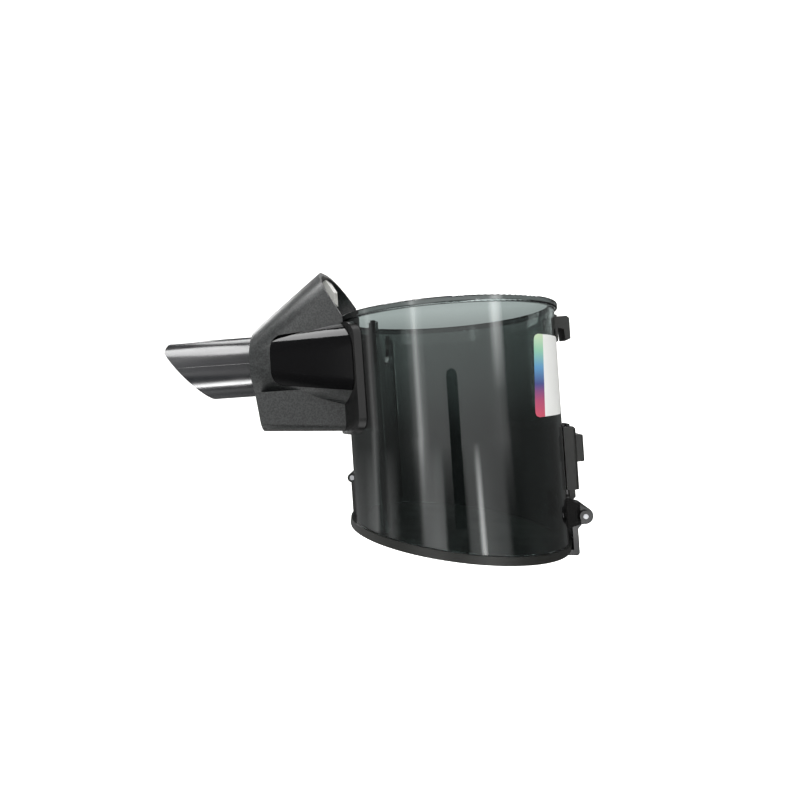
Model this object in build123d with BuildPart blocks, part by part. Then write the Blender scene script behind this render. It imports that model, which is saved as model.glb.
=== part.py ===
"""Cyclone dust bin of a stick vacuum cleaner, in millimetres.

The origin is the centre of the cup's rim, Z runs up the bin axis, the inlet
tube points to -X and the lid's hook is at +X. base_z is where the slanted
lid plane crosses the bin axis; lid and latch heights are counted from it.
Inlet heights are counted from the tube's axis, axis_z.
"""

import os
from math import cos, radians, sin, sqrt, tan

from build123d import *

# Cup
cup_height = 110.8
cup_radius = 55.5
cup_wall = 2.3
rim_lip = 1.5
rim_lip_height = 3.0
socket_step = 1.2
lid_slope = 9.46
glue_gap = 0.05

# Hinge bay on the inlet side and the lid hinge
bay_depth = 4.5
bay_height = 52.0
hinge_offset = 2.9
hinge_height = 29.0
hinge_pin_radius = 1.25
hinge_knuckle_radius = 2.4
hinge_arm_half = 5.2
hinge_arm_thickness = 2.6
hinge_lug_width = 4.0

# Lid and seal
lid_overhang = 1.0
lid_ring_height = 4.3
lid_ring_width = 5.0
lid_plate = 2.2
lid_rib = 2.4
lid_boss_radius = 9.0
lid_gap = 0.2
seal_width = 1.8
seal_depth = 1.4

# Inlet tube and port
tube_drop = 20.15
tube_radius = 16.0
tube_wall = 2.0
tube_length = 47.3
tube_cut_top = 9.6
tube_cut_length = 20.8
neck_step = 0.4
seal_ring_thickness = 1.4
lock_length = 7.0
lock_width = 5.0
lock_depth = 1.2
lock_out = 37.5

# Inlet housing
collar_reach = 45.0
collar_step = 4.0
collar_wall = 2.5
horn_width = 77.0
horn_low = 26.15
horn_high = 17.35
horn_corner = 14.0
hood_width = 54.0
hood_low = 12.65
hood_high = 55.85
hood_corner = 22.0
apex_high = 47.05
apex_reach = 7.5
mouth_turn = 4.0
keel_half = 25.0
keel_top = 14.65
keel_front_low = 34.25
keel_back_low = 37.65
keel_corner = 5.0
keel_front = 3.5
keel_rake = 2.4
shell = 2.2

# Saddle plate
saddle_thickness = 2.6
saddle_edge = 0.7
saddle_corner = 8.0
saddle_drop = 3.8
saddle_margin = 0.5
screw_angle = 34.0
screw_low = 28.65
screw_high = 8.85
screw_radius = 1.5
screw_head_radius = 2.8
screw_head = 1.8

# Side panels
panel_proud = 0.3
panel_depth = 1.2
panel_gap = 0.15
panel_start = 12.0
panel_root = 12.0
panel_front_low = 11.2
panel_front_high = 12.9
panel_back_low = 18.0
panel_back_high = 15.4
panel_corner = 6.0

# Baffle
baffle_offset = 21.5
baffle_thickness = 2.0
baffle_notch = 4.65
baffle_notch_radius = 30.0
baffle_low = 7.0
baffle_rim_drop = 5.8
rib_thickness = 1.2

# Connector
connector_length = 11.0
connector_width = 10.0
connector_side = 6.5
connector_low = 30.85
connector_offset = 3.0
socket_pitch = 4.6
blade_length = 6.0

# Latch frame, release slider and hook
frame_thickness = 1.1
frame_half = 12.5
frame_low = -1.0
frame_bridge = 1.0
rail_foot_half = 6.7
slider_half = 9.0
slider_low = 16.2
slider_high = 48.2
slider_thickness = 4.9
slider_skirt = 1.8
slider_corner = 2.2
slider_travel = 2.2
slide_gap = 0.3
rail_stem_half = 3.5
rail_head_half = 6.0
rail_lip = 0.7
rail_head = 1.4
button_out = 3.8
button_width = 14.0
button_height = 13.8
button_middle = 37.0
peg_size = 10.0
peg_depth = 1.5
pivot_reach = 7.3
pivot_height = 3.2
pivot_pin_radius = 1.25
barrel_radius = 4.2
ear_half = 8.0
ear_thickness = 3.0
ear_flare = 19.0
ear_boss = 1.6
ear_boss_radius = 2.9
ear_high = 12.5
hook_half = 7.7
hook_tab = 3.3
hook_arm = 2.8
hook_nose = 3.3
hook_gap = 0.55
hook_slot_half = 2.6
rod_gap = 0.45
rod_tip = 0.7
rod_half = 5.0
running_gap = 0.07
coil_radius = 1.75
wire_radius = 0.35

# Catch at the rear, near the rim
catch_half = 7.0
catch_drop = 6.0
catch_depth = 11.8
catch_reach = 7.0

base_z = -cup_height
reach = 4 * cup_radius
cup_inner = cup_radius - cup_wall
rim_lip_radius = cup_radius + rim_lip
socket_radius = cup_inner + socket_step
bay_flat = cup_radius - bay_depth
hinge_out = bay_flat + hinge_offset
slope_cos = cos(radians(lid_slope))
slope_sin = sin(radians(lid_slope))
lid_radius = cup_radius + lid_overhang
foot = cup_radius * tan(radians(lid_slope)) + 2
baffle_out = cup_radius - baffle_offset
baffle_height = cup_height - baffle_low - baffle_rim_drop
axis_z = -tube_drop
tube_neck_radius = tube_radius - neck_step
collar_radius = tube_radius + collar_step
collar_out = cup_radius + collar_reach
tube_tip = collar_out + tube_length
saddle_inner = cup_radius + glue_gap
saddle_outer = saddle_inner + saddle_thickness
housing_clear = saddle_outer + glue_gap
saddle_half = horn_width / 2 - saddle_edge
saddle_top = -saddle_drop
saddle_bottom = axis_z - keel_back_low - saddle_margin
horn_end = cup_radius - 17.5
hood_end = cup_radius - 5.5
apex_out = cup_radius + apex_reach
mouth_foot_out = cup_radius - 9.5
connector_out = cup_radius + connector_offset
inlet_span = collar_out - 0.7 * cup_radius
hinge_z = base_z + hinge_height
hinge_pin_half = hinge_arm_half + slide_gap + hinge_lug_width
pivot_z = base_z + pivot_height
pivot_out = cup_radius + pivot_reach
hook_pin_half = ear_half + ear_thickness + ear_boss + 0.2
frame_outer = cup_radius + glue_gap + frame_thickness
slider_back = frame_outer + slide_gap
slider_front = slider_back + slider_thickness
rail_head_back = slider_back + rail_lip + slide_gap
rail_head_front = rail_head_back + rail_head
lid_plane = Plane(
    origin=(0, 0, base_z),
    x_dir=(slope_cos, 0, -slope_sin),
    z_dir=(slope_sin, 0, slope_cos),
)
mouth_plane = Plane(
    origin=(-apex_out, 0, axis_z + apex_high),
    z_dir=(apex_high - horn_high, -mouth_turn, apex_out - mouth_foot_out),
)
screw_places = [
    Plane(
        origin=(0, 0, axis_z + height),
        z_dir=(-cos(radians(screw_angle)), side * sin(radians(screw_angle)), 0),
    )
    for height in (-screw_low, screw_high)
    for side in (-1, 1)
]

os.makedirs("parts", exist_ok=True)


def section(x, width, low, high, radius):
    """A rounded rectangle across the inlet at x, between two heights."""
    with BuildSketch(Plane.YZ.offset(x), mode=Mode.PRIVATE) as outline:
        with Locations((0, (low + high) / 2)):
            RectangleRounded(width, high - low, radius)
    return outline.sketch


def horn_sections(grow):
    """End sections of the horn, grown outward by an amount."""
    collar = collar_radius + grow
    low = axis_z - horn_low - grow
    high = axis_z + horn_high + grow
    front = section(-collar_out, 2 * collar, axis_z - collar, axis_z + collar, collar - 0.2)
    back = section(-horn_end, horn_width + 2 * grow, low, high, horn_corner + grow)
    return [front, back]


def hood_sections(grow):
    """End sections of the peaked hood, grown outward by an amount."""
    collar = collar_radius + grow
    low = axis_z - hood_low - grow
    high = axis_z + hood_high + 1.2 * grow
    front = section(-collar_out, 2 * collar, axis_z - collar, axis_z + collar, collar - 0.2)
    back = section(-hood_end, hood_width + 2 * grow, low, high, hood_corner + grow)
    return [front, back]


def keel_profile(inset):
    """Side outline of the keel box under the horn."""
    with BuildSketch(Plane.XZ, mode=Mode.PRIVATE) as outline:
        Polygon(
            (-collar_out + keel_front + inset, axis_z - keel_top),
            (-collar_out + keel_front + keel_rake + inset, axis_z - keel_front_low + inset),
            (-horn_end, axis_z - keel_back_low + inset),
            (-horn_end, axis_z - keel_top),
            align=None,
        )
    return outline.sketch


with BuildPart() as bin_cup:
    Cylinder(cup_radius, cup_height + foot, align=(Align.CENTER, Align.CENTER, Align.MAX))
    Cylinder(rim_lip_radius, rim_lip_height, align=(Align.CENTER, Align.CENTER, Align.MAX))
    rim_edges = bin_cup.edges().filter_by(GeomType.CIRCLE)
    rim_edges = rim_edges.filter_by(lambda edge: edge.radius > cup_radius + rim_lip / 2)
    fillet(rim_edges, radius=rim_lip / 2)
    Cylinder(cup_inner, 3 * cup_height, mode=Mode.SUBTRACT)
    Cylinder(socket_radius, 2 * rim_lip_height, mode=Mode.SUBTRACT)
    # Hinge bay: a flat wall set into the cup on the inlet side
    with BuildSketch(Plane.XY.offset(base_z - foot)):
        Circle(cup_radius)
        with Locations((-bay_flat + cup_wall, 0)):
            Rectangle(reach, reach, align=(Align.MAX, Align.CENTER), mode=Mode.INTERSECT)
    extrude(amount=foot + bay_height + cup_wall)
    with Locations((-bay_flat, 0, base_z - foot)):
        Box(reach, reach, foot + bay_height, align=(Align.MAX, Align.CENTER, Align.MIN), mode=Mode.SUBTRACT)
    # Ribs that hold the baffle's two edges
    with BuildSketch(Plane.XY.offset(base_z + baffle_low + 2)):
        Circle(cup_radius - cup_wall / 2)
        Circle(cup_inner - 2, mode=Mode.SUBTRACT)
        with BuildSketch(mode=Mode.PRIVATE) as rib_bars:
            rib_place = (baffle_thickness + rib_thickness) / 2 + 0.2
            with Locations((-baffle_out - rib_place, 0), (-baffle_out + rib_place, 0)):
                Rectangle(rib_thickness, reach)
        add(rib_bars.sketch, mode=Mode.INTERSECT)
    extrude(amount=baffle_height - 3)
    split(bisect_by=lid_plane, keep=Keep.TOP)
    with BuildSketch(Plane.YZ.offset(-cup_radius - rim_lip)):
        with Locations((0, axis_z)):
            Circle(tube_radius - tube_wall)
    extrude(amount=cup_radius / 4, mode=Mode.SUBTRACT)
    with Locations(*screw_places):
        Cylinder(
            screw_radius + glue_gap, reach, align=(Align.CENTER, Align.CENTER, Align.MIN), mode=Mode.SUBTRACT
        )
    # Lugs of the lid hinge, standing on the flat of the bay
    with BuildSketch(Plane.XZ.offset(hinge_arm_half + slide_gap)) as lug_side:
        with Locations((-hinge_out, hinge_z)):
            Circle(hinge_knuckle_radius)
        Polygon(
            (-bay_flat + 1, hinge_z + 6),
            (-hinge_out, hinge_z + hinge_knuckle_radius),
            (-hinge_out, hinge_z - hinge_knuckle_radius),
            (-bay_flat + 1, hinge_z - 4),
            align=None,
        )
    extrude(amount=hinge_lug_width)
    extrude(lug_side.sketch, amount=-2 * (hinge_arm_half + slide_gap) - hinge_lug_width)
    with BuildSketch(Plane.XZ.offset(-hinge_arm_half - slide_gap)) as arm_space:
        Polygon(
            (-bay_flat, hinge_z + 8),
            (-hinge_out - 6, hinge_z + 8),
            (-hinge_out - 6, hinge_z - 8),
            (-bay_flat, hinge_z - 8),
            align=None,
        )
    extrude(amount=2 * (hinge_arm_half + slide_gap), mode=Mode.SUBTRACT)
    with BuildSketch(Plane.XZ.offset(-hinge_pin_half - 1)):
        with Locations((-hinge_out, hinge_z)):
            Circle(hinge_pin_radius)
    extrude(amount=2 * (hinge_pin_half + 1), mode=Mode.SUBTRACT)
bin_cup.part.label = "bin_cup"
export_step(bin_cup.part, "parts/bin_cup.step")

with BuildPart() as inlet_baffle:
    baffle_x = -baffle_out - baffle_thickness / 2
    chord = 2 * sqrt(cup_inner**2 - baffle_x**2) - 2 * slide_gap
    with BuildSketch(Plane.YZ.offset(baffle_x)):
        with Locations((0, base_z + baffle_low)):
            Rectangle(chord, baffle_height, align=(Align.CENTER, Align.MIN))
        with Locations((0, axis_z - baffle_notch + baffle_notch_radius)):
            Circle(baffle_notch_radius, mode=Mode.SUBTRACT)
    extrude(amount=baffle_thickness)
inlet_baffle.part.label = "inlet_baffle"
export_step(inlet_baffle.part, "parts/inlet_baffle.step")

with BuildPart() as lid_seal:
    seal_outer = cup_radius - (cup_wall - seal_width) / 2
    seal_inner = seal_outer - seal_width
    seal_flat = bay_flat - (cup_wall - seal_width) / 2
    with BuildSketch(lid_plane.offset(-seal_depth)) as seal_face:
        Ellipse(seal_outer / slope_cos, seal_outer)
        with Locations((-seal_flat / slope_cos, 0)):
            Rectangle(reach, reach, align=(Align.MAX, Align.CENTER), mode=Mode.SUBTRACT)
        with BuildSketch(mode=Mode.PRIVATE) as seal_hole:
            Ellipse(seal_inner / slope_cos, seal_inner)
            with Locations(((seal_width - seal_flat) / slope_cos, 0)):
                Rectangle(reach, reach, align=(Align.MAX, Align.CENTER), mode=Mode.SUBTRACT)
        add(seal_hole.sketch, mode=Mode.SUBTRACT)
    extrude(amount=seal_depth)
lid_seal.part.label = "lid_seal"
export_step(lid_seal.part, "parts/lid_seal.step")

with BuildPart() as bottom_lid:
    with BuildSketch(lid_plane.offset(-lid_ring_height)):
        Ellipse(lid_radius / slope_cos, lid_radius)
    extrude(amount=lid_ring_height - lid_gap)
    fillet(bottom_lid.edges().sort_by(Axis(lid_plane.origin, lid_plane.z_dir))[0], radius=0.8)
    with BuildSketch(lid_plane.offset(-lid_ring_height)):
        Ellipse((lid_radius - lid_ring_width) / slope_cos, lid_radius - lid_ring_width)
        Rectangle(lid_rib, reach, mode=Mode.SUBTRACT)
        Rectangle(reach, lid_rib, mode=Mode.SUBTRACT)
        Circle(lid_boss_radius, mode=Mode.SUBTRACT)
    extrude(amount=lid_ring_height - lid_gap - lid_plate, mode=Mode.SUBTRACT)
    with BuildSketch(lid_plane.offset(-seal_depth)):
        add(seal_face.sketch_local)
    extrude(amount=seal_depth, mode=Mode.SUBTRACT)
    # Arm that rises in the hinge bay to the pin
    arm_low = base_z + hinge_out * tan(radians(lid_slope)) - 2
    with BuildSketch(Plane.XZ.offset(-hinge_arm_half)):
        with Locations((-hinge_out, hinge_z)):
            Circle(hinge_knuckle_radius)
        Polygon(
            (-hinge_out - hinge_arm_thickness / 2, hinge_z),
            (-hinge_out + hinge_arm_thickness / 2, hinge_z),
            (-hinge_out + hinge_arm_thickness / 2, arm_low),
            (-hinge_out - hinge_arm_thickness / 2, arm_low),
            align=None,
        )
        with Locations((-hinge_out, hinge_z)):
            Circle(hinge_pin_radius + running_gap, mode=Mode.SUBTRACT)
    extrude(amount=2 * hinge_arm_half)
bottom_lid.part.label = "bottom_lid"
export_step(bottom_lid.part, "parts/bottom_lid.step")

with BuildPart() as lid_hinge_pin:
    with BuildSketch(Plane.XZ.offset(-hinge_pin_half)):
        with Locations((-hinge_out, hinge_z)):
            Circle(hinge_pin_radius)
    extrude(amount=2 * hinge_pin_half)
lid_hinge_pin.part.label = "lid_hinge_pin"
export_step(lid_hinge_pin.part, "parts/lid_hinge_pin.step")

with BuildPart() as inlet_tube:
    with BuildSketch(Plane.YZ.offset(-tube_tip)):
        with Locations((0, axis_z)):
            Circle(tube_radius)
            Circle(tube_radius - tube_wall, mode=Mode.SUBTRACT)
    extrude(amount=tube_length)
    with BuildSketch(Plane.YZ.offset(-collar_out)):
        with Locations((0, axis_z)):
            Circle(tube_neck_radius)
            Circle(tube_radius - tube_wall, mode=Mode.SUBTRACT)
    extrude(amount=inlet_span)
    with BuildSketch(Plane.XZ.offset(-2 * tube_radius)):
        Polygon(
            (-tube_tip, axis_z + tube_cut_top),
            (-tube_tip + tube_cut_length, axis_z - tube_radius),
            (-tube_tip + tube_cut_length, axis_z - 2 * tube_radius),
            (-tube_tip - 5, axis_z - 2 * tube_radius),
            (-tube_tip - 5, axis_z + tube_cut_top),
            align=None,
        )
    extrude(amount=4 * tube_radius, mode=Mode.SUBTRACT)
    Cylinder(saddle_inner + seal_ring_thickness, 3 * cup_height, mode=Mode.SUBTRACT)
    with Locations((-collar_out - lock_out, 0, axis_z + tube_radius)):
        Box(lock_length, lock_width, 2 * lock_depth, mode=Mode.SUBTRACT)
inlet_tube.part.label = "inlet_tube"
export_step(inlet_tube.part, "parts/inlet_tube.step")

with BuildPart() as inlet_seal:
    with BuildSketch(Plane.YZ.offset(-collar_out)):
        with Locations((0, axis_z)):
            Circle(tube_neck_radius)
            Circle(tube_radius - tube_wall, mode=Mode.SUBTRACT)
    extrude(amount=inlet_span)
    with BuildSketch(Plane.XY.offset(base_z), mode=Mode.PRIVATE) as seal_band:
        Circle(saddle_inner + seal_ring_thickness)
        Circle(saddle_inner, mode=Mode.SUBTRACT)
    extrude(seal_band.sketch, amount=2 * cup_height, mode=Mode.INTERSECT)
inlet_seal.part.label = "inlet_seal"
export_step(inlet_seal.part, "parts/inlet_seal.step")

with BuildPart() as saddle_plate:
    with BuildSketch(Plane.YZ.offset(-collar_out)):
        with Locations((0, (saddle_bottom + saddle_top) / 2)):
            RectangleRounded(2 * saddle_half, saddle_top - saddle_bottom, saddle_corner)
    extrude(amount=collar_out - cup_radius / 2)
    with BuildSketch(Plane.XY.offset(base_z), mode=Mode.PRIVATE) as saddle_band:
        Circle(saddle_outer)
        Circle(saddle_inner, mode=Mode.SUBTRACT)
    extrude(saddle_band.sketch, amount=2 * cup_height, mode=Mode.INTERSECT)
    with BuildSketch(Plane.YZ.offset(-collar_out)):
        with Locations((0, axis_z)):
            Circle(tube_neck_radius + glue_gap)
    extrude(amount=inlet_span, mode=Mode.SUBTRACT)
    with Locations(*screw_places):
        Cylinder(
            screw_radius, saddle_outer - 0.8, align=(Align.CENTER, Align.CENTER, Align.MIN), mode=Mode.SUBTRACT
        )
saddle_plate.part.label = "saddle_plate"
export_step(saddle_plate.part, "parts/saddle_plate.step")

with BuildPart() as saddle_screws:
    head_foot = cup_inner - 0.1 - screw_head
    with Locations(*[place.offset(head_foot) for place in screw_places]):
        Cylinder(screw_head_radius, screw_head, align=(Align.CENTER, Align.CENTER, Align.MIN))
        Cylinder(screw_radius, saddle_outer - 1.2 - head_foot, align=(Align.CENTER, Align.CENTER, Align.MIN))
        Box(0.3 * screw_head_radius, 1.3 * screw_head_radius, screw_head, mode=Mode.SUBTRACT)
        Box(1.3 * screw_head_radius, 0.3 * screw_head_radius, screw_head, mode=Mode.SUBTRACT)
saddle_screws.part.label = "saddle_screws"
export_step(saddle_screws.part, "parts/saddle_screws.step")

with BuildSketch(Plane.XZ.offset(panel_root)) as panel_window:
    with BuildLine():
        Polyline(
            (-collar_out + panel_start, axis_z - panel_front_low),
            (-collar_out + panel_start, axis_z + panel_front_high),
            (-horn_end, axis_z + panel_back_high),
            (-horn_end, axis_z - panel_back_low),
            close=True,
        )
    make_face()
    fillet(panel_window.vertices().group_by(Axis.X)[0], radius=panel_corner)

with BuildPart() as near_panel:
    loft(horn_sections(panel_proud))
    loft(horn_sections(-panel_depth), mode=Mode.SUBTRACT)
    extrude(panel_window.sketch, amount=horn_width, mode=Mode.INTERSECT)
    Cylinder(housing_clear + slide_gap, 3 * cup_height, mode=Mode.SUBTRACT)
near_panel.part.label = "near_panel"
export_step(near_panel.part, "parts/near_panel.step")

with BuildPart() as far_panel:
    mirror(near_panel.part, about=Plane.XZ)
far_panel.part.label = "far_panel"
export_step(far_panel.part, "parts/far_panel.step")

with BuildPart() as inlet_housing:
    loft(horn_sections(0))
    loft(hood_sections(0))
    with BuildPart(mode=Mode.PRIVATE) as keel:
        extrude(keel_profile(0), amount=keel_half, both=True)
        keel_edges = keel.faces().sort_by(Axis.Z)[0].edges().filter_by(Axis.Y, reverse=True)
        fillet(keel_edges, radius=keel_corner)
    add(keel.part)
    split(bisect_by=mouth_plane, keep=Keep.BOTTOM)
    loft(horn_sections(-shell), mode=Mode.SUBTRACT)
    loft(hood_sections(-shell), mode=Mode.SUBTRACT)
    extrude(keel_profile(shell), amount=keel_half - shell, both=True, mode=Mode.SUBTRACT)
    with BuildSketch(Plane.YZ.offset(-collar_out)):
        with Locations((0, axis_z)):
            Circle(collar_radius - 0.5)
            Circle(tube_neck_radius + glue_gap, mode=Mode.SUBTRACT)
    extrude(amount=collar_wall)
    # Room for the saddle plate below and for the rim above it
    with Locations((0, 0, saddle_top + slide_gap)):
        Cylinder(
            housing_clear,
            2 * cup_height,
            align=(Align.CENTER, Align.CENTER, Align.MAX),
            mode=Mode.SUBTRACT,
        )
        Cylinder(
            rim_lip_radius + slide_gap,
            2 * cup_height,
            align=(Align.CENTER, Align.CENTER, Align.MIN),
            mode=Mode.SUBTRACT,
        )
    # Recesses for the two side panels
    with BuildPart(mode=Mode.PRIVATE) as pocket:
        loft(horn_sections(2))
        loft(horn_sections(-panel_depth - glue_gap), mode=Mode.SUBTRACT)
        with BuildSketch(Plane.XZ.offset(panel_root), mode=Mode.PRIVATE) as pocket_window:
            add(panel_window.sketch_local)
            offset(amount=panel_gap)
        extrude(pocket_window.sketch, amount=horn_width, mode=Mode.INTERSECT)
    add(pocket.part, mode=Mode.SUBTRACT)
    mirror(pocket.part, about=Plane.XZ, mode=Mode.SUBTRACT)
inlet_housing.part.label = "inlet_housing"
export_step(inlet_housing.part, "parts/inlet_housing.step")

socket_spots = [connector_side - socket_pitch / 2, connector_side + socket_pitch / 2]
socket_z = axis_z + connector_low + 4.5

with BuildPart() as connector_shell:
    with Locations((-connector_out, connector_side, axis_z + connector_low)):
        Box(
            connector_length,
            connector_width,
            hood_high,
            align=(Align.MAX, Align.CENTER, Align.MIN),
        )
    with BuildPart(mode=Mode.PRIVATE) as hood_room:
        loft(hood_sections(-shell - glue_gap))
        split(bisect_by=mouth_plane.offset(-1.5), keep=Keep.BOTTOM)
    add(hood_room.part, mode=Mode.INTERSECT)
    with Locations(*[(-connector_out, spot, socket_z) for spot in socket_spots]):
        Box(connector_length + 3, socket_pitch - 2, 4, mode=Mode.SUBTRACT)
connector_shell.part.label = "connector_shell"
export_step(connector_shell.part, "parts/connector_shell.step")

with BuildPart() as contact_pins:
    with Locations(*[(-connector_out - blade_length - 1, spot, socket_z) for spot in socket_spots]):
        Box(blade_length, 1.6, 1.0, align=(Align.MIN, Align.CENTER, Align.CENTER))
contact_pins.part.label = "contact_pins"
export_step(contact_pins.part, "parts/contact_pins.step")

with BuildPart() as latch_frame:
    # Curved flange on the cup's wall, wide at the ears and narrow behind the slider
    with BuildSketch(Plane.XY.offset(base_z + frame_low)):
        Circle(frame_outer)
        Rectangle(reach, 2 * frame_half, align=(Align.MIN, Align.CENTER), mode=Mode.INTERSECT)
    extrude(amount=ear_high + frame_bridge - frame_low)
    with BuildSketch(Plane.XY.offset(base_z + frame_low)):
        Circle(frame_outer)
        Rectangle(reach, 2 * rail_foot_half, align=(Align.MIN, Align.CENTER), mode=Mode.INTERSECT)
    extrude(amount=slider_high + 1.4 - frame_low)
    # T rail that the slider runs on
    with BuildSketch(Plane.XY.offset(base_z + slider_low + 2.5)):
        Rectangle(rail_head_back, 2 * rail_stem_half, align=(Align.MIN, Align.CENTER))
        with Locations((rail_head_back, 0)):
            Rectangle(rail_head, 2 * rail_head_half, align=(Align.MIN, Align.CENTER))
    extrude(amount=slider_high + 1.4 - slider_low - 2.5)
    # Ears that carry the hook pin, flared toward the wall
    with BuildPart(mode=Mode.PRIVATE) as ears:
        with BuildSketch(Plane.XZ.offset(-ear_flare)):
            with Locations((pivot_out, pivot_z)):
                Circle(barrel_radius)
            Polygon(
                (cup_radius / 2, base_z + frame_low),
                (pivot_out, pivot_z - barrel_radius),
                (pivot_out, pivot_z + barrel_radius),
                (cup_radius, base_z + ear_high),
                (cup_radius / 2, base_z + ear_high),
                align=None,
            )
        extrude(amount=2 * ear_flare)
        ear_tip = pivot_out + 2 * barrel_radius
        with BuildSketch(Plane.XY.offset(base_z - cup_height)):
            Polygon(
                (cup_radius / 2, -ear_flare),
                (cup_radius - barrel_radius, -ear_flare),
                (pivot_out - barrel_radius / 2, -ear_half - ear_thickness),
                (ear_tip, -ear_half - ear_thickness),
                (ear_tip, ear_half + ear_thickness),
                (pivot_out - barrel_radius / 2, ear_half + ear_thickness),
                (cup_radius - barrel_radius, ear_flare),
                (cup_radius / 2, ear_flare),
                align=None,
            )
        extrude(amount=2 * cup_height, mode=Mode.INTERSECT)
        with BuildSketch(Plane.XZ.offset(-ear_half - ear_thickness - ear_boss)):
            with Locations((pivot_out, pivot_z)):
                Circle(ear_boss_radius)
        extrude(amount=2 * (ear_half + ear_thickness + ear_boss))
    add(ears.part)
    with Locations((cup_radius / 2, 0, base_z + ear_high - frame_bridge)):
        Box(reach, 2 * ear_half, reach, align=(Align.MIN, Align.CENTER, Align.MAX), mode=Mode.SUBTRACT)
    Cylinder(cup_radius + glue_gap, 3 * cup_height, mode=Mode.SUBTRACT)
    with BuildSketch(Plane.XZ.offset(-reach / 2)):
        with Locations((pivot_out, pivot_z)):
            Circle(pivot_pin_radius)
    extrude(amount=reach, mode=Mode.SUBTRACT)
latch_frame.part.label = "latch_frame"
export_step(latch_frame.part, "parts/latch_frame.step")

with BuildPart() as release_slider:
    with Locations((slider_back, 0, base_z + slider_low)):
        Box(
            slider_thickness,
            2 * slider_half,
            slider_high - slider_low,
            align=(Align.MIN, Align.CENTER, Align.MIN),
        )
    front_edges = release_slider.edges().filter_by(Axis.Z).group_by(Axis.X)[-1]
    fillet(front_edges, radius=slider_corner)
    chamfer(release_slider.faces().sort_by(Axis.Z)[-1].edges().sort_by(Axis.X)[-1], length=1)
    with BuildSketch(Plane.XY.offset(base_z + slider_low + 2.5 - slide_gap)):
        with Locations((slider_back, 0)):
            Rectangle(
                rail_head_front + slide_gap - slider_back,
                2 * (rail_stem_half + slide_gap),
                align=(Align.MIN, Align.CENTER),
            )
        with Locations((rail_head_back - slide_gap, 0)):
            Rectangle(
                rail_head + 2 * slide_gap,
                2 * (rail_head_half + slide_gap),
                align=(Align.MIN, Align.CENTER),
            )
    extrude(amount=slider_high, mode=Mode.SUBTRACT)
    # Skirts that reach back to the cup's wall on both sides of the flange
    skirt_in = slider_half - slider_skirt
    skirt_back = sqrt(cup_radius**2 - skirt_in**2) + slide_gap + glue_gap
    with Locations(*[(skirt_back, side * (skirt_in + slider_half) / 2, base_z + slider_low) for side in (-1, 1)]):
        Box(
            slider_back - skirt_back + 1,
            slider_skirt,
            slider_high - slider_low,
            align=(Align.MIN, Align.CENTER, Align.MIN),
        )
    # Rod that pushes the hook's tab down
    rod_back = slider_back + slide_gap
    rod_front = slider_front - 1.5
    rod_low = pivot_z + hook_tab + rod_gap
    with BuildSketch(Plane.XZ.offset(-rod_half)):
        Polygon(
            (rod_back, base_z + slider_low),
            (rod_front, base_z + slider_low),
            (rod_front, rod_low + 5),
            (rod_back + rod_tip, rod_low + 2.4),
            (rod_back + rod_tip, rod_low),
            (rod_back, rod_low),
            align=None,
        )
    extrude(amount=2 * rod_half)
    with Locations((slider_front, 0, base_z + button_middle)):
        Box(2 * peg_depth, peg_size, peg_size, mode=Mode.SUBTRACT)
release_slider.part.label = "release_slider"
export_step(release_slider.part, "parts/release_slider.step")

with BuildPart() as thumb_button:
    with Locations((slider_front, 0, base_z + button_middle)):
        Box(button_out, button_width, button_height, align=(Align.MIN, Align.CENTER, Align.CENTER))
        fillet(thumb_button.faces().sort_by(Axis.X)[-1].edges(), radius=1.1)
        Box(
            peg_depth - glue_gap,
            peg_size - 2 * glue_gap,
            peg_size - 2 * glue_gap,
            align=(Align.MAX, Align.CENTER, Align.CENTER),
        )
    with Locations(*[(slider_front + button_out, 0, base_z + button_middle + step) for step in (-3, 0, 3)]):
        Box(1.0, button_width - 4, 1.0, mode=Mode.SUBTRACT)
thumb_button.part.label = "thumb_button"
export_step(thumb_button.part, "parts/thumb_button.step")

with BuildPart() as lid_hook:
    arm_in = lid_radius + 2 * slide_gap
    arm_out = arm_in + hook_arm
    nose_x = lid_radius - hook_nose
    nose_z = base_z - lid_radius * tan(radians(lid_slope)) - lid_ring_height * slope_cos - hook_gap
    with BuildSketch(Plane.XZ.offset(-hook_half)):
        with Locations((pivot_out, pivot_z)):
            Circle(barrel_radius)
        with BuildLine():
            Polyline(
                (arm_in + 0.1, pivot_z + hook_tab),
                (pivot_out - 1, pivot_z + hook_tab),
                (pivot_out, pivot_z - 3.9),
                (arm_out, pivot_z - 7.2),
                (arm_out, nose_z - 2.2),
                (arm_out - 1.1, nose_z - 3.4),
                (nose_x + 0.2, nose_z - 3),
                (nose_x, nose_z),
                (arm_in, nose_z - 0.4),
                (arm_in, pivot_z - 4.4),
                (arm_in + 2.2, pivot_z - 2),
                (arm_in + 2.2, pivot_z + 1.1),
                (arm_in + 0.1, pivot_z + 1.4),
                close=True,
            )
        make_face()
        with Locations((pivot_out, pivot_z)):
            Circle(pivot_pin_radius + running_gap, mode=Mode.SUBTRACT)
    extrude(amount=2 * hook_half)
    # Slot for the spring across the middle of the barrel
    with BuildSketch(Plane.XZ.offset(-hook_slot_half)):
        with Locations((pivot_out, pivot_z)):
            Circle(barrel_radius + 0.1)
        Polygon(
            (cup_radius, pivot_z + 2.2),
            (pivot_out, pivot_z + 2.2),
            (pivot_out, pivot_z - 4.2),
            (cup_radius, pivot_z - 4.2),
            align=None,
        )
    extrude(amount=2 * hook_slot_half, mode=Mode.SUBTRACT)
lid_hook.part.label = "lid_hook"
export_step(lid_hook.part, "parts/lid_hook.step")

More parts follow.
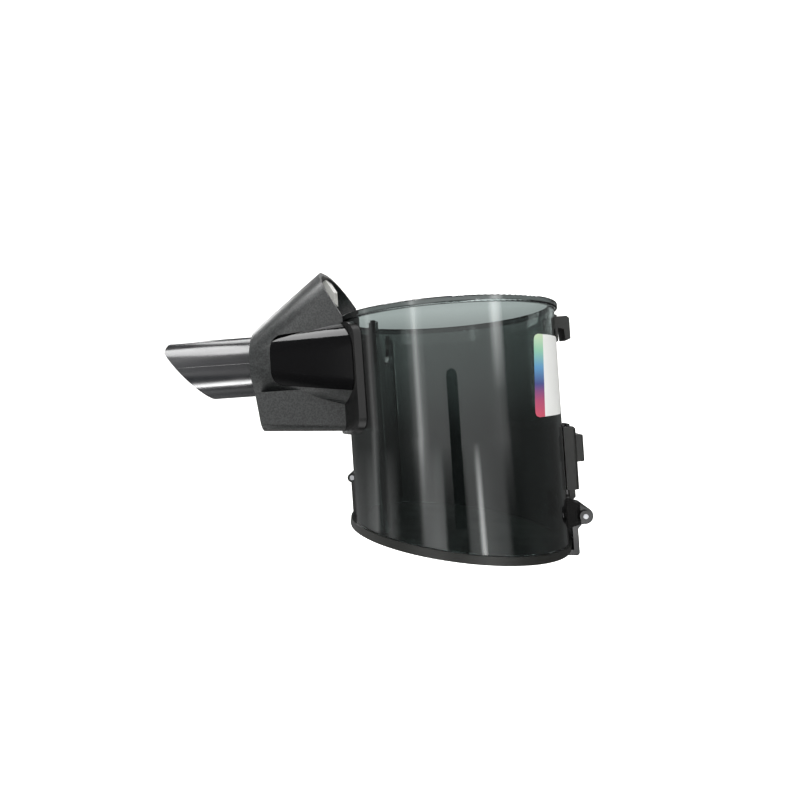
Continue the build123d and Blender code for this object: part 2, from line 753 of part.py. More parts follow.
with BuildPart() as hook_pin:
    with BuildSketch(Plane.XZ.offset(-hook_pin_half)):
        with Locations((pivot_out, pivot_z)):
            Circle(pivot_pin_radius)
    extrude(amount=2 * hook_pin_half)
hook_pin.part.label = "hook_pin"
export_step(hook_pin.part, "parts/hook_pin.step")

with BuildPart() as hook_spring:
    with BuildLine() as coil_path:
        Helix(
            pitch=0.8,
            height=2.8,
            radius=coil_radius,
            center=(pivot_out, 1.4, pivot_z),
            direction=(0, -1, 0),
        )
    with BuildSketch(Plane(origin=coil_path.line @ 0, z_dir=coil_path.line % 0)):
        Circle(wire_radius)
    sweep(path=coil_path.line)
    with BuildSketch(Plane(origin=coil_path.line @ 0, z_dir=-(coil_path.line % 0))):
        Circle(wire_radius)
    extrude(amount=pivot_reach - 0.4)
    with BuildSketch(Plane(origin=coil_path.line @ 1, z_dir=coil_path.line % 1)):
        Circle(wire_radius)
    extrude(amount=pivot_reach - 2.7)
hook_spring.part.label = "hook_spring"
export_step(hook_spring.part, "parts/hook_spring.step")

with BuildPart() as rear_catch:
    catch_low = -catch_drop - catch_depth
    catch_out = cup_radius + catch_reach
    with BuildSketch(Plane.XY.offset(catch_low - 0.8)):
        Circle(frame_outer)
        Rectangle(reach, 2 * catch_half + 3, align=(Align.MIN, Align.CENTER), mode=Mode.INTERSECT)
    extrude(amount=catch_depth + 1.6)
    with BuildSketch(Plane.XZ.offset(-catch_half)):
        with BuildLine():
            Polyline(
                (cup_radius / 2, -catch_drop),
                (catch_out - 1.3, -catch_drop),
                (catch_out, -catch_drop - 1.3),
                (catch_out, catch_low),
                (catch_out - 2.6, catch_low),
                (catch_out - 3.1, catch_low + 5.2),
                (catch_out - 5.1, catch_low + 5.8),
                (cup_radius / 2, catch_low + 5.8),
                close=True,
            )
        make_face()
    extrude(amount=2 * catch_half)
    Cylinder(cup_radius + glue_gap, 3 * cup_height, mode=Mode.SUBTRACT)
rear_catch.part.label = "rear_catch"
export_step(rear_catch.part, "parts/rear_catch.step")
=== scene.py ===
"""Smoky dust bin of a stick vacuum cleaner: materials, sticker, spring, light and camera."""

import math

import bpy
import numpy as np
from mathutils import Matrix


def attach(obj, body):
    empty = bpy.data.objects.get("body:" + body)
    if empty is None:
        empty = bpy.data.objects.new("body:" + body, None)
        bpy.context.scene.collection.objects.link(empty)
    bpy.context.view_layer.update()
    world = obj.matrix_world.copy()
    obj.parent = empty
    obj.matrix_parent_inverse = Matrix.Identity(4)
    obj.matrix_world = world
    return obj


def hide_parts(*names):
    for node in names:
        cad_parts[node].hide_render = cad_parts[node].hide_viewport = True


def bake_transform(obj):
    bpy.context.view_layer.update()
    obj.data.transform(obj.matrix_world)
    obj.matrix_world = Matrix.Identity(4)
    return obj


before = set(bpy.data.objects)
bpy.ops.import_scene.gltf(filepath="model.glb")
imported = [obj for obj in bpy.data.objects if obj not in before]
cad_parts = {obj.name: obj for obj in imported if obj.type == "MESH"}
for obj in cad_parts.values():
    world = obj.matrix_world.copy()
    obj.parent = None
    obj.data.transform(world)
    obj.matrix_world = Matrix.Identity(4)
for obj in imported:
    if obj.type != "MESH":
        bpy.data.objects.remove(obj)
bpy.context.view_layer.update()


# The cup is injection-moulded smoky polycarbonate with polished walls, and its hinge
# lugs are one piece with it. Its top 3 mm is a darker smoke, painted shade on the rim.
# The baffle inside it is moulded of the same.
MM = 0.001
CUP_SMOKE = "7D8684"
RIM_PAINTED_SHADE = "4C5251"
RIM_SHADE_FADE_MM = (-3.3, -2.7)
CUP_IOR = 1.58
CUP_MARK_STRETCH = (1, 1, 0.05)
GLOSS_PATCH_MM = 14.0
NOISE_SPAN = (0.3, 0.7)


def linear(code):
    """Linear colour of an sRGB hex code: the sRGB curve undone on each channel."""
    channels = np.array([int(code[i:i + 2], 16) / 255 for i in (0, 2, 4)])
    low = channels / 12.92
    high = ((channels + 0.055) / 1.055) ** 2.4
    return (*np.where(channels <= 0.04045, low, high).tolist(), 1.0)


def new_material(name):
    """A material whose node tree has one Principled shader and its output."""
    material = bpy.data.materials.new(name)
    material.use_nodes = True
    return material, material.node_tree, material.node_tree.nodes["Principled BSDF"]


def add_node(tree, kind, settings=None, values=None, links=None):
    """A shader node with its properties, its socket values and its incoming links set."""
    node = tree.nodes.new(kind)
    for key, value in (settings or {}).items():
        setattr(node, key, value)
    for key, value in (values or {}).items():
        node.inputs[key].default_value = value
    for key, source in (links or {}).items():
        tree.links.new(source, node.inputs[key])
    return node


def dress(material, *names):
    """Gives CAD nodes one material."""
    for name in names:
        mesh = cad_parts[name].data
        mesh.materials.clear()
        mesh.materials.append(material)


def grain(tree, shader, size_mm, depth_mm, rough, stretch=(1, 1, 1)):
    """Noise of one grain size on Object coordinates as a fine bump, and wide patches in
    which the roughness goes from its low to its high value. Returns the grain's noise."""
    place = add_node(tree, "ShaderNodeTexCoord")
    spread = add_node(
        tree,
        "ShaderNodeMapping",
        values={"Scale": stretch},
        links={"Vector": place.outputs["Object"]},
    )
    noise = add_node(
        tree,
        "ShaderNodeTexNoise",
        values={"Scale": 1 / (size_mm * MM), "Detail": 4.0, "Roughness": 0.55},
        links={"Vector": spread.outputs["Vector"]},
    )
    bump = add_node(
        tree,
        "ShaderNodeBump",
        values={"Strength": 1.0, "Distance": depth_mm * MM},
        links={"Height": noise.outputs["Fac"]},
    )
    tree.links.new(bump.outputs["Normal"], shader.inputs["Normal"])
    patch = add_node(
        tree,
        "ShaderNodeTexNoise",
        values={"Scale": 1 / (GLOSS_PATCH_MM * MM), "Detail": 3.0},
        links={"Vector": place.outputs["Object"]},
    )
    gloss = add_node(
        tree,
        "ShaderNodeMapRange",
        values={
            "From Min": NOISE_SPAN[0],
            "From Max": NOISE_SPAN[1],
            "To Min": rough[0],
            "To Max": rough[1],
        },
        links={"Value": patch.outputs["Fac"]},
    )
    tree.links.new(gloss.outputs["Result"], shader.inputs["Roughness"])
    return noise


# Polished polycarbonate gives the eye sharp reflections on a wall that dims and greens
# what is behind it. Its upright draw marks are drawn coarser than real ones, to show.
smoky_polycarbonate, tree, shader = new_material("smoky_polycarbonate")
place = add_node(tree, "ShaderNodeTexCoord")
height = add_node(tree, "ShaderNodeSeparateXYZ", links={"Vector": place.outputs["Object"]})
# Painted shade: the top 3 mm of the cup, its rim, fades to a darker smoke.
rim_shade_mask = add_node(
    tree,
    "ShaderNodeMapRange",
    values={"From Min": RIM_SHADE_FADE_MM[0] * MM, "From Max": RIM_SHADE_FADE_MM[1] * MM},
    links={"Value": height.outputs["Z"]},
)
# Mixes the cup's real smoky tint with the rim's painted shade.
smoke_and_rim_shade = add_node(
    tree,
    "ShaderNodeMix",
    {"data_type": "RGBA"},
    values={6: linear(CUP_SMOKE), 7: linear(RIM_PAINTED_SHADE)},
    links={0: rim_shade_mask.outputs["Result"]},
)
tree.links.new(smoke_and_rim_shade.outputs[2], shader.inputs["Base Color"])
shader.inputs["Transmission Weight"].default_value = 1.0
shader.inputs["IOR"].default_value = CUP_IOR
grain(
    tree, shader, size_mm=2.0, depth_mm=0.0006, rough=(0.01, 0.03), stretch=CUP_MARK_STRETCH
)
dress(smoky_polycarbonate, "bin_cup", "inlet_baffle")


# The sticker is white film with rounded corners and a band of colours printed along
# one edge. It is glued to the outside of the cup's wall, a little out of true.
STICKER_WHITE = "F2F3F1"
BASE_Z = -110.8 * MM
CUP_RADIUS = 55.5 * MM
STICKER_ANGLES = (-47.0, -15.0)
STICKER_HEIGHTS_MM = (55.6, 93.5)
STICKER_LEAN = 2.7
STICKER_CORNER_MM = 3.0
STICKER_LIFT_MM = 0.08
STICKER_ROWS, STICKER_COLUMNS = 61, 51
CORNER_SHARE = 0.2
BAND_SHARE = 0.24
BAND_COLOURS = ["D25A6E", "B85478", "4C5490", "66A0CC", "98D0B4", "D0E4C0"]
BAND_ROUGHNESS = 0.35


def sticker_points():
    """Part of a cylinder round Z: equal steps of angle along rows and of height up columns.
    Near the top and the foot the rows' ends draw in on a quarter circle, which rounds the
    corners, and all rows turn back in proportion to their depth below the top one."""
    low, high = STICKER_HEIGHTS_MM
    corner = STICKER_CORNER_MM
    height = np.linspace(low, high, STICKER_ROWS)
    from_edge = np.clip(np.minimum(height - low, high - height), 0, corner)
    inset = corner - np.sqrt(corner**2 - (corner - from_edge) ** 2)
    share = np.linspace(0, 1, STICKER_COLUMNS)
    first_end = np.clip(1 - share / CORNER_SHARE, 0, 1)
    last_end = np.clip(1 - (1 - share) / CORNER_SHARE, 0, 1)
    turn = np.radians(np.linspace(*STICKER_ANGLES, STICKER_COLUMNS))
    turn = turn + inset[:, None] * MM / CUP_RADIUS * (first_end - last_end)
    turn = turn - np.radians(STICKER_LEAN) * np.linspace(1, 0, STICKER_ROWS)[:, None]
    radius = CUP_RADIUS + STICKER_LIFT_MM * MM
    up = np.broadcast_to(height[:, None] * MM + BASE_Z, turn.shape)
    return np.stack([radius * np.cos(turn), radius * np.sin(turn), up], axis=-1)


def grid_mesh(name, points, ring=False):
    """A mesh of quads on a rows by columns grid of points. A ring closes each row on itself
    and caps the first and the last one."""
    rows, columns = points.shape[:2]
    index = np.arange(rows * columns).reshape(rows, columns)
    caps = [index[0, ::-1].tolist(), index[-1].tolist()] if ring else []
    if ring:
        index = np.concatenate([index, index[:, :1]], axis=1)
    quads = np.stack(
        [index[:-1, :-1], index[:-1, 1:], index[1:, 1:], index[1:, :-1]], axis=-1
    ).reshape(-1, 4)
    mesh = bpy.data.meshes.new(name)
    mesh.from_pydata(points.reshape(-1, 3).tolist(), [], quads.tolist() + caps)
    mesh.polygons.foreach_set("use_smooth", [True] * len(mesh.polygons))
    piece = bpy.data.objects.new(name, mesh)
    bpy.context.scene.collection.objects.link(piece)
    return piece


def set_stops(ramp, stops):
    """Puts a colour ramp's stops at the given positions, each with its linear colour."""
    elements = ramp.color_ramp.elements
    while len(elements) < len(stops):
        elements.new(1.0)
    for element, (position, colour) in zip(elements, stops):
        element.position = position
        element.color = colour


sticker = grid_mesh("sticker", sticker_points())

# Coated film gives the eye a clean white with a soft, even sheen. Its tooth is drawn
# coarser than the real one, to show.
sticker_film, tree, shader = new_material("sticker_film")
shader.inputs["Base Color"].default_value = linear(STICKER_WHITE)
grain(tree, shader, size_mm=0.4, depth_mm=0.002, rough=(0.3, 0.42))

# Ink on the film gives the eye flat colours that run into each other up the band.
sticker_band, tree, shader = new_material("sticker_band")
place = add_node(tree, "ShaderNodeTexCoord")
height = add_node(tree, "ShaderNodeSeparateXYZ", links={"Vector": place.outputs["Object"]})
share = add_node(
    tree,
    "ShaderNodeMapRange",
    values={
        "From Min": STICKER_HEIGHTS_MM[0] * MM + BASE_Z,
        "From Max": STICKER_HEIGHTS_MM[1] * MM + BASE_Z,
    },
    links={"Value": height.outputs["Z"]},
)
ramp = add_node(tree, "ShaderNodeValToRGB", links={"Fac": share.outputs["Result"]})
steps = np.linspace(0, 1, len(BAND_COLOURS)).tolist()
set_stops(ramp, list(zip(steps, map(linear, BAND_COLOURS))))
tree.links.new(ramp.outputs["Color"], shader.inputs["Base Color"])
shader.inputs["Roughness"].default_value = BAND_ROUGHNESS

sticker.data.materials.append(sticker_film)
sticker.data.materials.append(sticker_band)
quads_across = STICKER_COLUMNS - 1
in_band = np.tile(np.arange(quads_across) < BAND_SHARE * quads_across, STICKER_ROWS - 1)
sticker.data.polygons.foreach_set("material_index", in_band.astype(np.int32))
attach(sticker, "bin")


# The lid is moulded in black ABS and swings on a pin through the cup's lugs. The slider
# with its pressed-in button and the catch near the rim come from like moulds.
LID_BLACK = "1F201E"

# An etched mould gives the eye a dull black with a broad, soft sheen. The etched grain
# is drawn coarser than the real one, to show.
textured_abs, tree, shader = new_material("textured_black_abs")
shader.inputs["Base Color"].default_value = linear(LID_BLACK)
grain(tree, shader, size_mm=0.3, depth_mm=0.012, rough=(0.36, 0.5))
dress(textured_abs, "bottom_lid", "release_slider", "thumb_button", "rear_catch")


# The latch frame and the saddle plate are moulded in black ABS and fixed to the cup's
# wall, the plate with four screws. The hook is of the same and swings on a steel pin.
SMOOTH_BLACK = "131313"

# A polished mould gives the eye a deep black with clear, slightly blurred lights.
smooth_abs, tree, shader = new_material("smooth_black_abs")
shader.inputs["Base Color"].default_value = linear(SMOOTH_BLACK)
grain(tree, shader, size_mm=1.2, depth_mm=0.003, rough=(0.16, 0.26))
dress(smooth_abs, "latch_frame", "lid_hook", "saddle_plate")


# The seals are moulded in soft black rubber. One lies in the lid's groove and meets the
# cup's lower edge, the other is a ring between the tube and the cup's port.
SEAL_BLACK = "1C1C1C"

# Rubber gives the eye a flat dark grey with hardly any light on it. Its dusty grain is
# drawn coarser than the real one, to show.
seal_rubber, tree, shader = new_material("seal_rubber")
shader.inputs["Base Color"].default_value = linear(SEAL_BLACK)
grain(tree, shader, size_mm=0.4, depth_mm=0.01, rough=(0.6, 0.75))
dress(seal_rubber, "lid_seal", "inlet_seal")


# The housing is a shell of dark grey ABS, moulded in one with its open hood and its keel
# box. It sits over the tube and against the saddle plate.
HOUSING_GREY = "1A1B1B"
HOUSING_FLECK = "303232"
FLECK_SPAN = (0.4, 0.6)

# A coarsely etched mould gives the eye a satin grey with fine flecks. The flecks are
# drawn coarser than real ones, to show.
satin_abs, tree, shader = new_material("satin_grey_abs")
noise = grain(tree, shader, size_mm=0.8, depth_mm=0.03, rough=(0.28, 0.38))
fleck = add_node(
    tree,
    "ShaderNodeMapRange",
    values={"From Min": FLECK_SPAN[0], "From Max": FLECK_SPAN[1]},
    links={"Value": noise.outputs["Fac"]},
)
speckle = add_node(
    tree,
    "ShaderNodeMix",
    {"data_type": "RGBA"},
    values={6: linear(HOUSING_GREY), 7: linear(HOUSING_FLECK)},
    links={0: fleck.outputs["Result"]},
)
tree.links.new(speckle.outputs[2], shader.inputs["Base Color"])
dress(satin_abs, "inlet_housing")


# The side panels are curved plates of black ABS from a mirror-polished mould. Each is
# pressed into a recess in the housing's side.
PANEL_BLACK = "0B0B0C"
PANEL_SPECULAR = 0.18

# High gloss gives the eye a near black with sharp bands of light on a faint ripple.
piano_abs, tree, shader = new_material("piano_black_abs")
shader.inputs["Base Color"].default_value = linear(PANEL_BLACK)
shader.inputs["Specular IOR Level"].default_value = PANEL_SPECULAR
grain(tree, shader, size_mm=3.0, depth_mm=0.002, rough=(0.05, 0.09))
dress(piano_abs, "near_panel", "far_panel")


# The tube is moulded in graphite ABS with a slanted tip, and goes through the housing to
# the cup's port. A fine bead along each side is where the mould's halves meet.
TUBE_GRAPHITE = "1A1B1D"
TUBE_RADIUS_MM = 16.0
TUBE_AXIS_MM = 90.65
SEAM_REACH_MM = (-139.5, -101.0)
SEAM_TURN = 3.0
SEAM_HALF_WIDTH = 0.45
SEAM_HEIGHT_MM = 0.2
SEAM_ROWS, SEAM_COLUMNS = 12, 7

# A smooth mould gives the eye long bright bands along the tube with soft edges.
graphite_abs, tree, shader = new_material("graphite_abs")
shader.inputs["Base Color"].default_value = linear(TUBE_GRAPHITE)
grain(tree, shader, size_mm=0.5, depth_mm=0.004, rough=(0.16, 0.24))
dress(graphite_abs, "inlet_tube")


def tube_seam(name, side):
    """A half-round bead along X on the tube's wall: its angle goes with the cosine and its
    height with the sine of half a turn. The far side runs the other way round, so that its
    faces point outwards too."""
    around = np.linspace(0, math.pi, SEAM_COLUMNS)[::-side]
    angle = np.radians(SEAM_TURN) + np.radians(SEAM_HALF_WIDTH) * np.cos(around)
    radius = TUBE_RADIUS_MM + SEAM_HEIGHT_MM * np.sin(around)
    points = np.empty((SEAM_ROWS, SEAM_COLUMNS, 3))
    points[..., 0] = np.linspace(*SEAM_REACH_MM, SEAM_ROWS)[:, None] * MM
    points[..., 1] = side * radius * np.cos(angle) * MM
    points[..., 2] = (radius * np.sin(angle) + TUBE_AXIS_MM) * MM + BASE_Z
    seam = grid_mesh(name, points)
    seam.data.materials.append(graphite_abs)
    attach(seam, "bin")


tube_seam("near_tube_seam", -1)
tube_seam("far_tube_seam", 1)


# The lid's pin and the hook's pin are cut from drawn steel rod and pressed in. The
# screws hold the saddle plate from inside the cup.
PIN_STEEL = "B4B5B8"

# Drawn steel gives the eye a bright grey metal with blurred lights. Its drawing marks
# are drawn coarser than real ones, to show.
pin_steel, tree, shader = new_material("drawn_steel")
shader.inputs["Base Color"].default_value = linear(PIN_STEEL)
shader.inputs["Metallic"].default_value = 1.0
grain(tree, shader, size_mm=0.2, depth_mm=0.002, rough=(0.22, 0.36))
dress(pin_steel, "lid_hinge_pin", "hook_pin", "saddle_screws")


# The hook's spring is coiled from steel wire round the hook's pin. Its far leg rests on
# the latch frame and its near leg on the hook.
PIVOT_MM = (62.8, 0.0, -107.6)
COIL_RADIUS_MM = 1.75
COIL_HALF_MM = 1.4
COIL_TURNS = 3.5
COIL_POINTS = 113
WIRE_RADIUS_MM = 0.35
WIRE_SIDES = 12
FRAME_LEG_MM = 6.9
HOOK_LEG_MM = 4.6


def spring_path():
    """A helix round the pin's axis, with a straight leg along its tangent at each end."""
    share = np.linspace(0, 1, COIL_POINTS)
    turn = -math.pi / 2 + 2 * math.pi * COIL_TURNS * share
    along = COIL_HALF_MM * (1 - 2 * share)
    coil = np.stack([COIL_RADIUS_MM * np.cos(turn), along, COIL_RADIUS_MM * np.sin(turn)], axis=1)
    lead = COIL_HALF_MM / (math.pi * COIL_TURNS * COIL_RADIUS_MM)
    run = math.hypot(1, lead)
    frame_end = coil[:1] - FRAME_LEG_MM * np.array([[1, -lead, 0]]) / run
    hook_end = coil[-1:] + HOOK_LEG_MM * np.array([[-1, -lead, 0]]) / run
    return np.concatenate([frame_end, coil, hook_end]) + PIVOT_MM


def wire_points(path):
    """A circle carried along a path and square to it, on axes crossed from the path and Y."""
    along = np.gradient(path, axis=0)
    along = along / np.linalg.norm(along, axis=1, keepdims=True)
    out = np.cross(along, (0, 1, 0))
    out = out / np.linalg.norm(out, axis=1, keepdims=True)
    up = np.cross(along, out)
    turn = np.linspace(0, 2 * math.pi, WIRE_SIDES, endpoint=False)[:, None]
    ring = np.cos(turn) * out[:, None] + np.sin(turn) * up[:, None]
    return path[:, None] + WIRE_RADIUS_MM * ring


spring = grid_mesh("spring_wire", wire_points(spring_path()) * MM, ring=True)
spring.data.materials.append(pin_steel)
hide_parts("hook_spring")
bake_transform(spring)


# The connector in the hood is a small shell moulded in white nylon. Two blades stamped
# from brass strip are pressed into it.
NYLON_WHITE = "E4E4DF"
BLADE_BRASS = "C9A15A"

# Nylon gives the eye a milky white with a soft sheen. Its grain is drawn coarser than
# the real one, to show.
white_nylon, tree, shader = new_material("white_nylon")
shader.inputs["Base Color"].default_value = linear(NYLON_WHITE)
grain(tree, shader, size_mm=0.3, depth_mm=0.006, rough=(0.4, 0.55))
dress(white_nylon, "connector_shell")

# Stamped brass gives the eye a warm yellow metal with fairly sharp lights.
blade_brass, tree, shader = new_material("blade_brass")
shader.inputs["Base Color"].default_value = linear(BLADE_BRASS)
shader.inputs["Metallic"].default_value = 1.0
grain(tree, shader, size_mm=0.2, depth_mm=0.001, rough=(0.2, 0.32))
dress(blade_brass, "contact_pins")


# The stage is a pale matt sweep, a floor that curves up into a wall, and lies below the
# reach of the open lid. It is white to the camera. Gloss and the smoky cup see it in
# bright and dark sectors round the bin, which draw the streaks on the cup.
FLOOR_Z = -196.0 * MM
SWEEP_FRONT, SWEEP_BACK, SWEEP_HALF = -1.5, 0.7, 2.5
SWEEP_BEND, SWEEP_TOP = 0.4, 1.6
BEND_POINTS = 24
SWEEP_PALE = "F4F4F2"
SWEEP_DIM = "060606"
SWEEP_ROUGHNESS = 0.9
CAMERA_LIFT = 0.7
GLOW_HEIGHTS = (-0.13, 0.22)
GLOW_LEVELS = [
    (0.0, 0.02), (0.1, 0.1), (0.32, 0.42), (0.68, 0.85), (0.857, 1.7), (0.93, 1.6), (1.0, 0.7),
]
FLOOR_REACH = (0.4, 1.6)
FLOOR_SECTORS = [
    (0.0, 0.06), (0.2, 0.4), (0.25, 1.2), (0.265, 0.2), (0.285, 0.3), (0.3, 0.9), (0.318, 0.5),
    (0.335, 0.06), (0.392, 0.06), (0.408, 1.3), (0.44, 1.8), (0.458, 1.4), (0.466, 0.02),
    (0.517, 0.02), (0.525, 0.8), (0.546, 0.9), (0.556, 8.0), (0.566, 1.2), (0.6, 0.8),
    (0.622, 0.65), (0.636, 0.02), (0.66, 0.04), (0.7, 0.12), (1.0, 0.06),
]
ROOM_SECTORS = [
    (0.0, 0.1), (0.16, 0.12), (0.235, 0.3), (0.25, 1.2), (0.27, 0.2), (0.35, 0.15), (0.378, 0.3),
    (0.394, 1.2), (0.405, 4.5), (0.416, 1.8), (0.432, 1.0), (0.6, 0.95), (0.632, 1.1),
    (0.65, 0.8), (0.66, 0.2), (0.7, 0.12), (1.0, 0.1),
]


def grey_stops(levels):
    """Ramp stops in grey: each position with its level on all three channels."""
    return [(position, (level, level, level, 1.0)) for position, level in levels]


def sector_level(tree, vector, levels):
    """A level by the angle round Z: 0.5 is the front, -Y, and 0.75 is the right, +X."""
    axes = add_node(tree, "ShaderNodeSeparateXYZ", links={"Vector": vector})
    ahead = add_node(
        tree,
        "ShaderNodeMath",
        {"operation": "MULTIPLY"},
        values={1: -1.0},
        links={0: axes.outputs["Y"]},
    )
    turn = add_node(
        tree,
        "ShaderNodeMath",
        {"operation": "ARCTAN2"},
        links={0: axes.outputs["X"], 1: ahead.outputs[0]},
    )
    share = add_node(
        tree,
        "ShaderNodeMapRange",
        values={"From Min": -math.pi, "From Max": math.pi},
        links={"Value": turn.outputs[0]},
    )
    ramp = add_node(tree, "ShaderNodeValToRGB", links={"Fac": share.outputs["Result"]})
    set_stops(ramp, grey_stops(levels))
    return ramp.outputs["Color"]


def sweep_points():
    """Profile of floor, quarter circle and wall, carried along X in two columns."""
    turn = np.linspace(0, math.pi / 2, BEND_POINTS)
    y = np.concatenate(
        [[SWEEP_FRONT], SWEEP_BACK + SWEEP_BEND * np.sin(turn), [SWEEP_BACK + SWEEP_BEND]]
    )
    z = np.concatenate([[0], SWEEP_BEND - SWEEP_BEND * np.cos(turn), [SWEEP_TOP]]) + FLOOR_Z
    left = np.stack([np.full_like(y, -SWEEP_HALF), y, z], axis=1)
    right = left * [-1, 1, 1]
    return np.stack([left, right], axis=1)


sweep = grid_mesh("sweep", sweep_points())

# Matt paint gives the eye an even pale ground that takes the bin's soft shadow.
pale_sweep, tree, shader = new_material("pale_sweep")
shader.inputs["Roughness"].default_value = SWEEP_ROUGHNESS
shader.inputs["Specular IOR Level"].default_value = 0.0
shader.inputs["Emission Color"].default_value = (1.0, 1.0, 1.0, 1.0)
path = add_node(tree, "ShaderNodeLightPath")
mirrored = add_node(
    tree,
    "ShaderNodeMath",
    {"operation": "MAXIMUM"},
    links={0: path.outputs["Is Glossy Ray"], 1: path.outputs["Is Transmission Ray"]},
)
paint = add_node(
    tree,
    "ShaderNodeMix",
    {"data_type": "RGBA"},
    values={6: linear(SWEEP_PALE), 7: linear(SWEEP_DIM)},
    links={0: mirrored.outputs[0]},
)
tree.links.new(paint.outputs[2], shader.inputs["Base Color"])
place = add_node(tree, "ShaderNodeTexCoord")
height = add_node(tree, "ShaderNodeSeparateXYZ", links={"Vector": place.outputs["Object"]})
share = add_node(
    tree,
    "ShaderNodeMapRange",
    values={"From Min": GLOW_HEIGHTS[0], "From Max": GLOW_HEIGHTS[1]},
    links={"Value": height.outputs["Z"]},
)
glow = add_node(tree, "ShaderNodeValToRGB", links={"Fac": share.outputs["Result"]})
set_stops(glow, grey_stops(GLOW_LEVELS))
through = add_node(
    tree,
    "ShaderNodeMath",
    {"operation": "MULTIPLY"},
    links={0: path.outputs["Is Transmission Ray"], 1: glow.outputs["Color"]},
)
away = add_node(
    tree, "ShaderNodeVectorMath", {"operation": "LENGTH"}, links={0: place.outputs["Object"]}
)
far = add_node(
    tree,
    "ShaderNodeMapRange",
    values={"From Min": FLOOR_REACH[0], "From Max": FLOOR_REACH[1]},
    links={"Value": away.outputs["Value"]},
)
room = add_node(
    tree,
    "ShaderNodeMix",
    {"data_type": "FLOAT"},
    links={
        0: far.outputs["Result"],
        2: sector_level(tree, place.outputs["Object"], FLOOR_SECTORS),
        3: sector_level(tree, place.outputs["Object"], ROOM_SECTORS),
    },
)
seen = add_node(
    tree,
    "ShaderNodeMath",
    {"operation": "MULTIPLY_ADD"},
    links={0: mirrored.outputs[0], 1: room.outputs[0], 2: through.outputs[0]},
)
lift = add_node(
    tree,
    "ShaderNodeMath",
    {"operation": "MULTIPLY_ADD"},
    values={1: CAMERA_LIFT},
    links={0: path.outputs["Is Camera Ray"], 2: seen.outputs[0]},
)
tree.links.new(lift.outputs[0], shader.inputs["Emission Strength"])
sweep.data.materials.append(pale_sweep)


# The studio round the stage is bright in front of the bin and dim at its sides. A tall
# bright gap to the front right, which only gloss sees, draws the streak by the sticker.
HIGH_SECTORS = [(0.0, 0.0), (0.615, 0.0), (0.632, 4.5), (0.646, 3.0), (0.66, 0.0), (1.0, 0.0)]
HIGH_RISE = (0.0, 0.14)

world = bpy.data.worlds.new("studio")
bpy.context.scene.world = world
world.use_nodes = True
tree = world.node_tree
backing = tree.nodes["Background"]
backing.inputs["Color"].default_value = (1.0, 1.0, 1.0, 1.0)
path = add_node(tree, "ShaderNodeLightPath")
place = add_node(tree, "ShaderNodeTexCoord")
rise = add_node(tree, "ShaderNodeSeparateXYZ", links={"Vector": place.outputs["Generated"]})
high = add_node(
    tree,
    "ShaderNodeMapRange",
    values={"From Min": HIGH_RISE[0], "From Max": HIGH_RISE[1]},
    links={"Value": rise.outputs["Z"]},
)
high_seen = add_node(
    tree,
    "ShaderNodeMath",
    {"operation": "MULTIPLY"},
    links={0: high.outputs["Result"], 1: path.outputs["Is Glossy Ray"]},
)
room = add_node(
    tree,
    "ShaderNodeMath",
    {"operation": "MULTIPLY_ADD"},
    links={
        0: sector_level(tree, place.outputs["Generated"], HIGH_SECTORS),
        1: high_seen.outputs[0],
        2: sector_level(tree, place.outputs["Generated"], ROOM_SECTORS),
    },
)
level = add_node(
    tree,
    "ShaderNodeMath",
    {"operation": "MAXIMUM"},
    links={0: path.outputs["Is Camera Ray"], 1: room.outputs[0]},
)
tree.links.new(level.outputs[0], backing.inputs["Strength"])


# The lamps are soft boxes that face the bin: two in front and above, three behind it
# that the camera doesn't see, and a small one below the tube for its lower band.
BIN_MIDDLE = (-0.02, 0.0, -0.05)
FRONT_BOXES = [
    ("overhead", (-0.33, -0.17, 0.50), (0.4, 0.22), 3.6),
    ("right_box", (0.22, -0.36, 0.33), (0.2, 0.2), 0.7),
]
BACK_BOXES = [
    ("left_back", (-0.45, 0.38, 0.12), (0.25, 0.4), 1.6),
    ("right_back", (0.25, 0.45, 0.42), (0.3, 0.3), 1.6),
    ("top_back", (-0.12, 0.32, 0.50), (0.5, 0.25), 2.0),
]
TUBE_LIGHT_PLACE = (-0.172, -0.1, -0.1276)
TUBE_LIGHT_TARGET = (-0.172, -0.1, 0)
TUBE_LIGHT_SIZE = (0.075, 0.1)
TUBE_LIGHT_WATTS = 0.48
TUBE_LIGHT_SPREAD = 88


def look_at(origin, target, up):
    """A matrix at origin whose -Z points to target and whose Y leans to up."""
    back = np.subtract(origin, target)
    back = back / np.linalg.norm(back)
    right = np.cross(up, back)
    right = right / np.linalg.norm(right)
    matrix = np.eye(4)
    matrix[:3, :3] = np.stack([right, np.cross(back, right), back], axis=1)
    matrix[:3, 3] = origin
    return Matrix(matrix.tolist())


def softbox(name, origin, size, watts, target=BIN_MIDDLE, up=(0, 0, 1)):
    """A rectangular lamp of a size in metres that faces a target."""
    lamp = bpy.data.lights.new(name, "AREA")
    lamp.shape = "RECTANGLE"
    lamp.size, lamp.size_y = size
    lamp.energy = watts
    body = bpy.data.objects.new(name, lamp)
    body.matrix_world = look_at(origin, target, up)
    bpy.context.scene.collection.objects.link(body)
    return body


for box in FRONT_BOXES:
    softbox(*box)
for box in BACK_BOXES:
    softbox(*box).visible_camera = False
tube_light = softbox(
    "tube_light",
    TUBE_LIGHT_PLACE,
    TUBE_LIGHT_SIZE,
    TUBE_LIGHT_WATTS,
    target=TUBE_LIGHT_TARGET,
    up=(0, 1, 0),
)
tube_light.data.spread = math.radians(TUBE_LIGHT_SPREAD)
tube_light.visible_camera = False


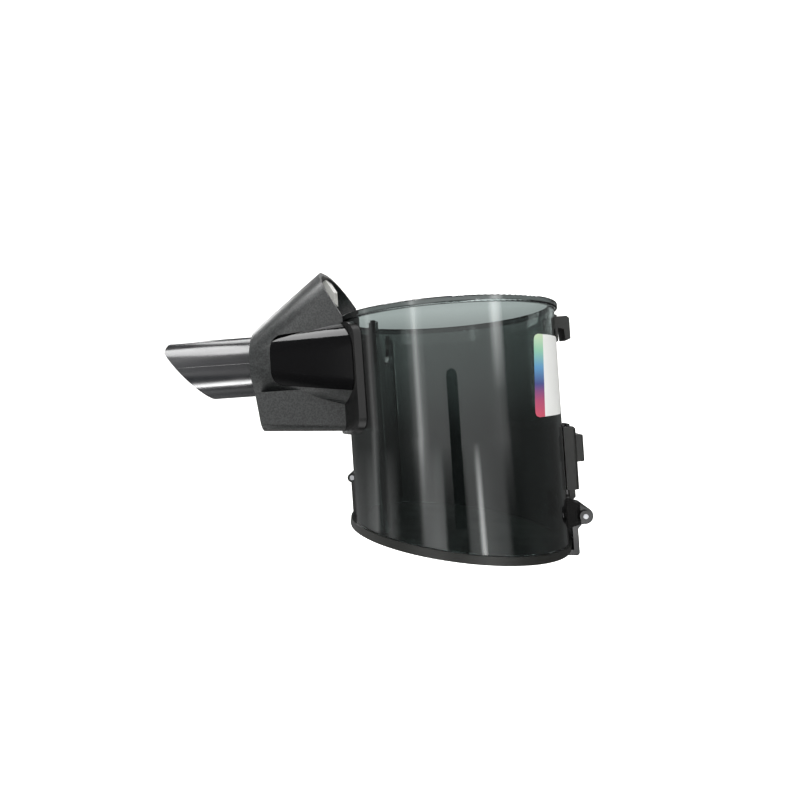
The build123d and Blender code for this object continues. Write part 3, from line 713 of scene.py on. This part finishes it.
# A card of black paper with a rounded top stands on the floor in front of the bin. The
# camera doesn't see it, and the cup mirrors it as the dark stripe on its middle.
CARD_BLACK = "101114"
CARD_PLACE = (0.0035, -0.45)
CARD_WIDTH = 0.08
CARD_TOP = -0.012
CARD_CROWN = 0.1
CARD_COLUMNS = 25
CARD_ROUGHNESS = 0.8


def card_points():
    """A card from the floor up, as columns of two points under a half-round top edge."""
    across = np.linspace(-1, 1, CARD_COLUMNS)
    edge = CARD_TOP - CARD_CROWN * CARD_WIDTH * (1 - np.sqrt(1 - across**2))
    x = CARD_PLACE[0] + across * CARD_WIDTH / 2
    y = np.full_like(x, CARD_PLACE[1])
    foot = np.stack([x, y, np.full_like(x, FLOOR_Z)], axis=1)
    head = np.stack([x, y, edge], axis=1)
    return np.stack([foot, head], axis=1)


card = grid_mesh("dark_card", card_points())
card.visible_camera = False

# Paper gives the eye a flat black with no gloss to speak of.
black_card, tree, shader = new_material("black_card")
shader.inputs["Base Color"].default_value = linear(CARD_BLACK)
shader.inputs["Roughness"].default_value = CARD_ROUGHNESS
card.data.materials.append(black_card)


# The camera stands at the photograph's viewpoint, level and slightly rolled. Its place
# and angles come from a fit to the bin's outline.
LENS_MM = 25.0
SENSOR_MM = 36.0
CAMERA_MM = (-8.863, -295.066, -42.624)
YAW, PITCH, ROLL = -0.0612, -0.0022, -0.0673

flat = math.cos(PITCH)
forward = np.array([math.sin(YAW) * flat, math.cos(YAW) * flat, math.sin(PITCH)])
level_right = np.array([math.cos(YAW), -math.sin(YAW), 0.0])
level_up = np.cross(level_right, forward)
camera_right = math.cos(ROLL) * level_right + math.sin(ROLL) * level_up
camera_up = np.cross(camera_right, forward)
camera_matrix = np.eye(4)
camera_matrix[:3, :3] = np.stack([camera_right, camera_up, -forward], axis=1)
camera_matrix[:3, 3] = np.array(CAMERA_MM) * MM

lens = bpy.data.cameras.new("photo_camera")
lens.lens = LENS_MM
lens.sensor_width = SENSOR_MM
lens.clip_start = 10 * MM
camera = bpy.data.objects.new("photo_camera", lens)
camera.matrix_world = Matrix(camera_matrix.tolist())
bpy.context.scene.collection.objects.link(camera)
bpy.context.scene.camera = camera
bpy.context.scene.view_settings.view_transform = "Standard"
